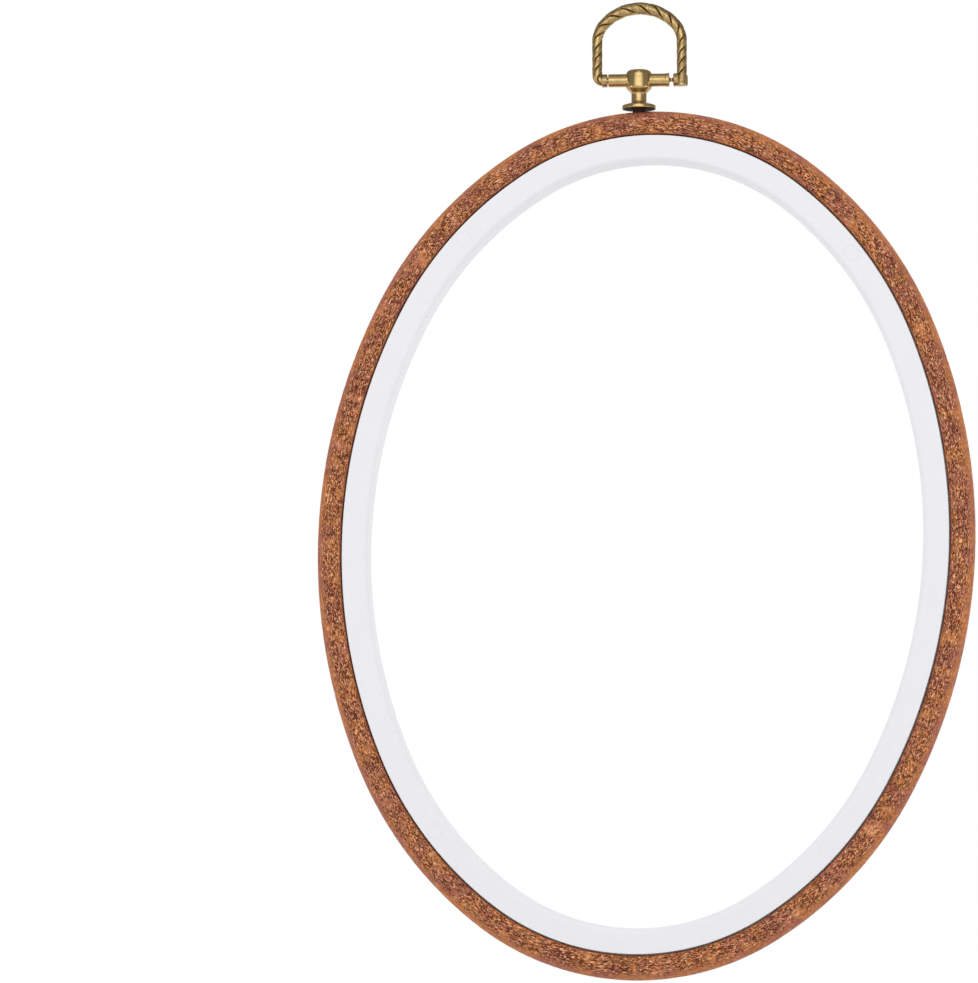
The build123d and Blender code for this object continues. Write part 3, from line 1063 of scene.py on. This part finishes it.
end_block = turned(
    "end_block",
    [
        (0, -end_block_drop, 0),
        (end_block_radius, -end_block_drop, end_block_edge),
        (end_block_radius, end_block_rise, end_block_edge),
        (0, end_block_rise, 0),
    ],
    right_leg_x,
    pin_z,
)
for addition in (
    boss(left_boss_x - boss_length),
    boss(right_boss_x),
    rod_across(leg_neck_diameter, right_boss_x + boss_length / 2, right_leg_x),
    end_block,
):
    weld(bail, addition)
bore = rod_across(pin_hole_diameter, left_leg_x - bore_overshoot, right_leg_x + bore_overshoot)
cut(bail, bore)
smooth(bail, 40)
print("bail has", len(bail.data.polygons), "faces")

# %% [markdown]
# The screw comes from inside the outer ring. Its head and a washer lie in a pocket, clear of the
# inner ring. They are hidden once the hoop is closed, but show when the inner ring is taken out.

# %% Hanger screw and washer
screw_radius, screw_length = mm(1.0), mm(8.0)
head_radius, head_bottom, head_top, head_edge_radius = mm(1.9), mm(-4.7), mm(-3.3), mm(0.5)
head_underside_edge, tip_edge = mm(0.1), mm(0.2)
slot_width, slot_depth = mm(0.5), mm(0.6)
washer_radius, washer_bore, washer_edge = mm(2.5), mm(1.1), mm(0.08)

screw = turned(
    "hanger_screw_turned",
    [
        (0, head_bottom, 0),
        (head_radius, head_bottom, head_edge_radius),
        (head_radius, head_top, head_underside_edge),
        (screw_radius, head_top, 0),
        (screw_radius, head_top + screw_length, tip_edge),
        (0, head_top + screw_length, 0),
    ],
)
bpy.ops.mesh.primitive_cube_add(size=1, location=(0, 0, crest_z + head_bottom))
bpy.context.object.scale = (4 * head_radius, slot_width, 2 * slot_depth)
bpy.ops.object.transform_apply(scale=True)
cut(screw, bpy.context.object)
smooth(screw)
washer = turned(
    "screw_washer_punched",
    [
        (washer_bore, head_top, 0),
        (washer_radius, head_top, washer_edge),
        (washer_radius, pocket_floor, washer_edge),
        (washer_bore, pocket_floor, 0),
        (washer_bore, head_top, 0),
    ],
)
smooth(washer)
print("screw and washer have", len(screw.data.polygons), len(washer.data.polygons), "faces")

# %% [markdown]
# Old brass is dark where no cloth reaches. That could be painted on by hand, but the mesh knows it
# already: a vertex lies in a hollow where its neighbours stand above its own surface. This number
# is evened out and stored at each vertex. Under the post's foot, which is flat, the same dark is
# set by height, and there it is painted shade, for the shadowed underside of the foot and its
# collar.

# %% Where patina, polish and painted shade lie on the brass
# Below the height of the foot's underside, the brass is set this dark as painted shade.
foot_shade_hollowness = 0.3  # hollow enough to be quite dark
foot_shade_top = crest_z + mm(0.72)  # just above the underside of the post's foot
smoothing_rounds = 2


def mark_hollows(piece, cast, shade_top=-1):
    """Stores how hollow a piece is, above 0 in grooves and below 0 on edges, and if it is cast;
    below a height it stores painted shade.
    """
    mesh = bmesh.new()
    mesh.from_mesh(piece.data)
    mesh.normal_update()
    hollow_and_shade = []
    for vertex in mesh.verts:
        rises = [
            (edge.other_vert(vertex).co - vertex.co).normalized().dot(vertex.normal)
            for edge in vertex.link_edges
        ]
        hollow_and_shade.append(sum(rises) / len(rises))
    near = [[edge.other_vert(vertex).index for edge in vertex.link_edges] for vertex in mesh.verts]
    for _ in range(smoothing_rounds):
        hollow_and_shade = [
            (hollow_and_shade[index] + sum(hollow_and_shade[other] for other in others)) / (1 + len(others))
            for index, others in enumerate(near)
        ]
    for vertex in mesh.verts:
        if vertex.co.z < shade_top:
            hollow_and_shade[vertex.index] = foot_shade_hollowness
    mesh.free()
    piece.data.attributes.new("hollow_and_shade", "FLOAT", "POINT").data.foreach_set("value", hollow_and_shade)
    casts = [cast] * len(hollow_and_shade)
    piece.data.attributes.new("cast", "FLOAT", "POINT").data.foreach_set("value", casts)
    print(piece.name, "is hollow from", round(min(hollow_and_shade), 2), "to", round(max(hollow_and_shade), 2))


mark_hollows(bail, cast=1)
mark_hollows(post, cast=0, shade_top=foot_shade_top)
mark_hollows(tube, cast=0)

# %% [markdown]
# Noise is the painter's sponge here. Its size is given in millimetres of the real thing, so that
# every finish keeps its scale on every piece.

# %% Noise for the finishes
def clouds(finish, place, size, detail=2, output=0):
    """Soft noise from 0 to 1, about one half on average, with blobs of about a size."""
    inputs = {"Vector": place, "Scale": 1 / size, "Detail": detail}
    return finish.add("TexNoise", inputs=inputs, output=output)


def add_bump(finish, height, depth):
    """Raises the surface in the shading by a height from 0 to 1 times a depth."""
    bump = finish.add("Bump", inputs={"Strength": 1, "Distance": depth, "Height": height})
    finish.surface({"Normal": bump})


print("blobs of 1 mm take a noise scale of", round(1 / mm(1)))

# %% [markdown]
# The vinyl is printed and embossed at once, so its colour follows its grain: dark in the fibres,
# tan on the lands between them, over broad patches that lean to orange or to purple brown. It could
# be a stretched picture of wood, but the fibres of this one curl, so they are bent noise. A dark
# line along the seam is painted shade, for the narrow gap between the two rings.

# %% Wood-look vinyl
vinyl = new_finish("wood_look_vinyl")
fibre_length, fibre_width = mm(1.05), mm(0.29)
fibre_curl, fibre_curl_size = mm(0.55), mm(1.0)

# Places round the section: the lip's edge lies at -8.5 mm, the front crest at -6.1, the side at 0.
# A dark line that runs up to the first of these places, at the lip's edge, is painted shade for the
# gap between the rings.
seam_shade_end = (mm(-8.45), mm(-8.05))
grain_start = (mm(-8.3), mm(-7.8))
grain_fade, side_grain = (mm(-4.6), mm(-2.6)), 0.25

vinyl_path = vinyl.add("Attribute", {"attribute_name": "grain_path"}, output="Vector")
pressed = vinyl.add("Attribute", {"attribute_name": "grain_depth"}, output="Fac")
around = vinyl.add("SeparateXYZ", inputs={0: vinyl_path}, output="Z")
painted_seam_shade = 1 - around.step(*seam_shade_end)
grained = around.step(*grain_start) * (1 - (1 - side_grain) * around.step(*grain_fade))
curl = clouds(vinyl, vinyl_path, fibre_curl_size, 1, "Color")
curled = vinyl.add(
    "VectorMath", {"operation": "MULTIPLY_ADD"}, {0: curl, 1: (fibre_curl,) * 3, 2: vinyl_path}
)
stretch = (1 / fibre_length, 1 / fibre_length, 1 / fibre_width)
stretched = vinyl.add("VectorMath", {"operation": "MULTIPLY"}, {0: curled, 1: stretch})
fibres = clouds(vinyl, stretched, 1, 2)
land = abs(fibres - 0.48).step(0.02, 0.085)
density = clouds(vinyl, vinyl_path, mm(3.2)).step(0.26, 0.46)
flecks = clouds(vinyl, stretched, 0.8, 1).step(0.5, 0.62)
patches = clouds(vinyl, vinyl_path, mm(5)).step(0.42, 0.6)

printed = vinyl.mix(patches, paint(214, 131, 73), paint(193, 112, 84))
printed = vinyl.mix(flecks * grained * 0.9, printed, paint(252, 188, 140))
printed = vinyl.mix((1 - land) * density * grained, printed, paint(82, 28, 12))
printed = vinyl.mix(pressed * 0.4, printed, paint(98, 42, 22))
# Painted shade: a dark line along the lip's edge, where the gap between the two rings lies in
# shadow.
printed = vinyl.mix(painted_seam_shade * 0.8, printed, paint(72, 28, 16))
vinyl.surface(
    {"Base Color": printed, "Roughness": 0.54 - 0.12 * land, "Specular IOR Level": 0.2}
)
add_bump(vinyl, land, mm(0.12))
print("vinyl has", len(vinyl.tree.nodes), "nodes")

# %% [markdown]
# The plastic is plain white with a touch of blue. One flat colour would nearly do, but a little
# unevenness makes it look moulded. Faint darker rims over the four pads are painted shade, standing
# in for the shallow sink marks that the pads leave in the face.

# %% White plastic
plastic = new_finish("white_plastic")
plastic_place = plastic.add("TexCoord", output="Object")
moulding = clouds(plastic, plastic_place, mm(6))
# The rims are painted shade: a darker ring round each pad stands for the shaded edge of a shallow
# sink mark.
pad_rim_shade_width, pad_rim_shade_strength = mm(0.4), 0.5
pad_rim_shades = []
for pad_place in pad_places:
    reach = plastic.add(
        "VectorMath", {"operation": "DISTANCE"}, {0: plastic_place, 1: pad_place}, "Value"
    )
    pad_rim_shades.append(abs(reach - pad_diameter / 2).step(pad_rim_shade_width, 0))
# The four darker rings together, as painted shade over the pads.
pad_rim_shade = sum(pad_rim_shades[1:], pad_rim_shades[0]) * pad_rim_shade_strength
white = plastic.mix(moulding, paint(234, 234, 239), paint(238, 238, 241))
plastic.surface(
    {
        "Base Color": plastic.mix(pad_rim_shade, white, paint(226, 226, 234)),
        "Roughness": 0.34 + 0.06 * moulding,
    }
)
print("plastic has", len(plastic.tree.nodes), "nodes")

# %% [markdown]
# Antique brass is plated brown, and then rubbed until the high places shine again. Each point's
# hollowness tells the shader where the rubbing can't reach. It could be painted by hand, but this
# way the brown lies in every groove at the same strength.

# %% Antique brass
mottle_size, pit_size, pit_depth = mm(0.9), mm(0.3), mm(0.02)


def aged(name, rubbed, brown, groove):
    """Brass rubbed bright on top, brown in patches, dark with patina in hollows and with painted
    shade under the post's foot.
    """
    finish = new_finish(name)
    place = finish.add("TexCoord", output="Object")
    hollow_and_shade = finish.add("Attribute", {"attribute_name": "hollow_and_shade"}, output="Fac")
    cast = finish.add("Attribute", {"attribute_name": "cast"}, output="Fac")
    # Dark in the hollows is the plating's brown patina; under the post's foot the same dark is
    # painted shade.
    patina_and_shade = hollow_and_shade.step(0.02, 0.13)
    mottle = clouds(finish, place, mottle_size, 4).step(0.35, 0.7) * (0.35 + 0.65 * cast)
    pits = clouds(finish, place, pit_size, 3)
    pitted = pits.step(0.48, 0.7) * (0.2 + 0.5 * cast)
    colour = finish.mix(mottle * 0.6, rubbed, brown)
    colour = finish.mix(pitted, colour, brown)
    colour = finish.mix(patina_and_shade, colour, groove)
    roughness = 0.2 + 0.08 * cast + 0.12 * mottle + 0.6 * patina_and_shade
    finish.surface({"Base Color": colour, "Metallic": 1.0 - 0.8 * patina_and_shade, "Roughness": roughness})
    add_bump(finish, pits * (0.15 + 0.85 * cast), pit_depth)
    return finish


# The last, darkest colour is the patina in the hollows and the painted shade under the post's foot.
antique = aged("antique_brass", paint(206, 177, 122), paint(116, 90, 52), paint(58, 32, 14))
print("antique brass has", len(antique.tree.nodes), "nodes")

# %% [markdown]
# The pin is plain drawn brass, and the screw and washer are plated with zinc. They could have worn
# patterns too, but hardly any of them shows, so one colour and one shine each are enough.

# %% Pin brass and zinc plate
pin_brass = new_finish("pin_brass")
pin_brass.surface({"Base Color": paint(205, 175, 118), "Metallic": 1.0, "Roughness": 0.3})
zinc = new_finish("zinc_plate")
zinc.surface({"Base Color": paint(200, 200, 205), "Metallic": 1.0, "Roughness": 0.35})
print("plain finishes:", pin_brass.holder.name, "and", zinc.holder.name)

# %% [markdown]
# Each new piece takes the place of its engineering node, moves with the same body, and takes its
# finish.

# %% Pieces, bodies and finishes
dressed = [
    (outer_ring, "outer_ring", "outer_ring", "wood_look_vinyl", vinyl),
    (inner_ring, "inner_ring", "inner_ring", "white_plastic", plastic),
    (post, "hanger_post", "hanger_post", "antique_brass", antique),
    (tube, "cross_tube", "hanger_post", "antique_brass", antique),
    (pin, "hinge_pin", "bail", "pin_brass", pin_brass),
    (bail, "bail", "bail", "antique_brass", antique),
    (screw, "hanger_screw", "hanger_post", "zinc_plate", zinc),
    (washer, "screw_washer", "hanger_post", "zinc_plate", zinc),
]
for piece, node, body, slot_name, finish in dressed:
    piece.data.materials.clear()
    piece.data.materials.append(finish.holder)
    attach(piece, body)
    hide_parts(node)
print(len(dressed), "pieces dressed")
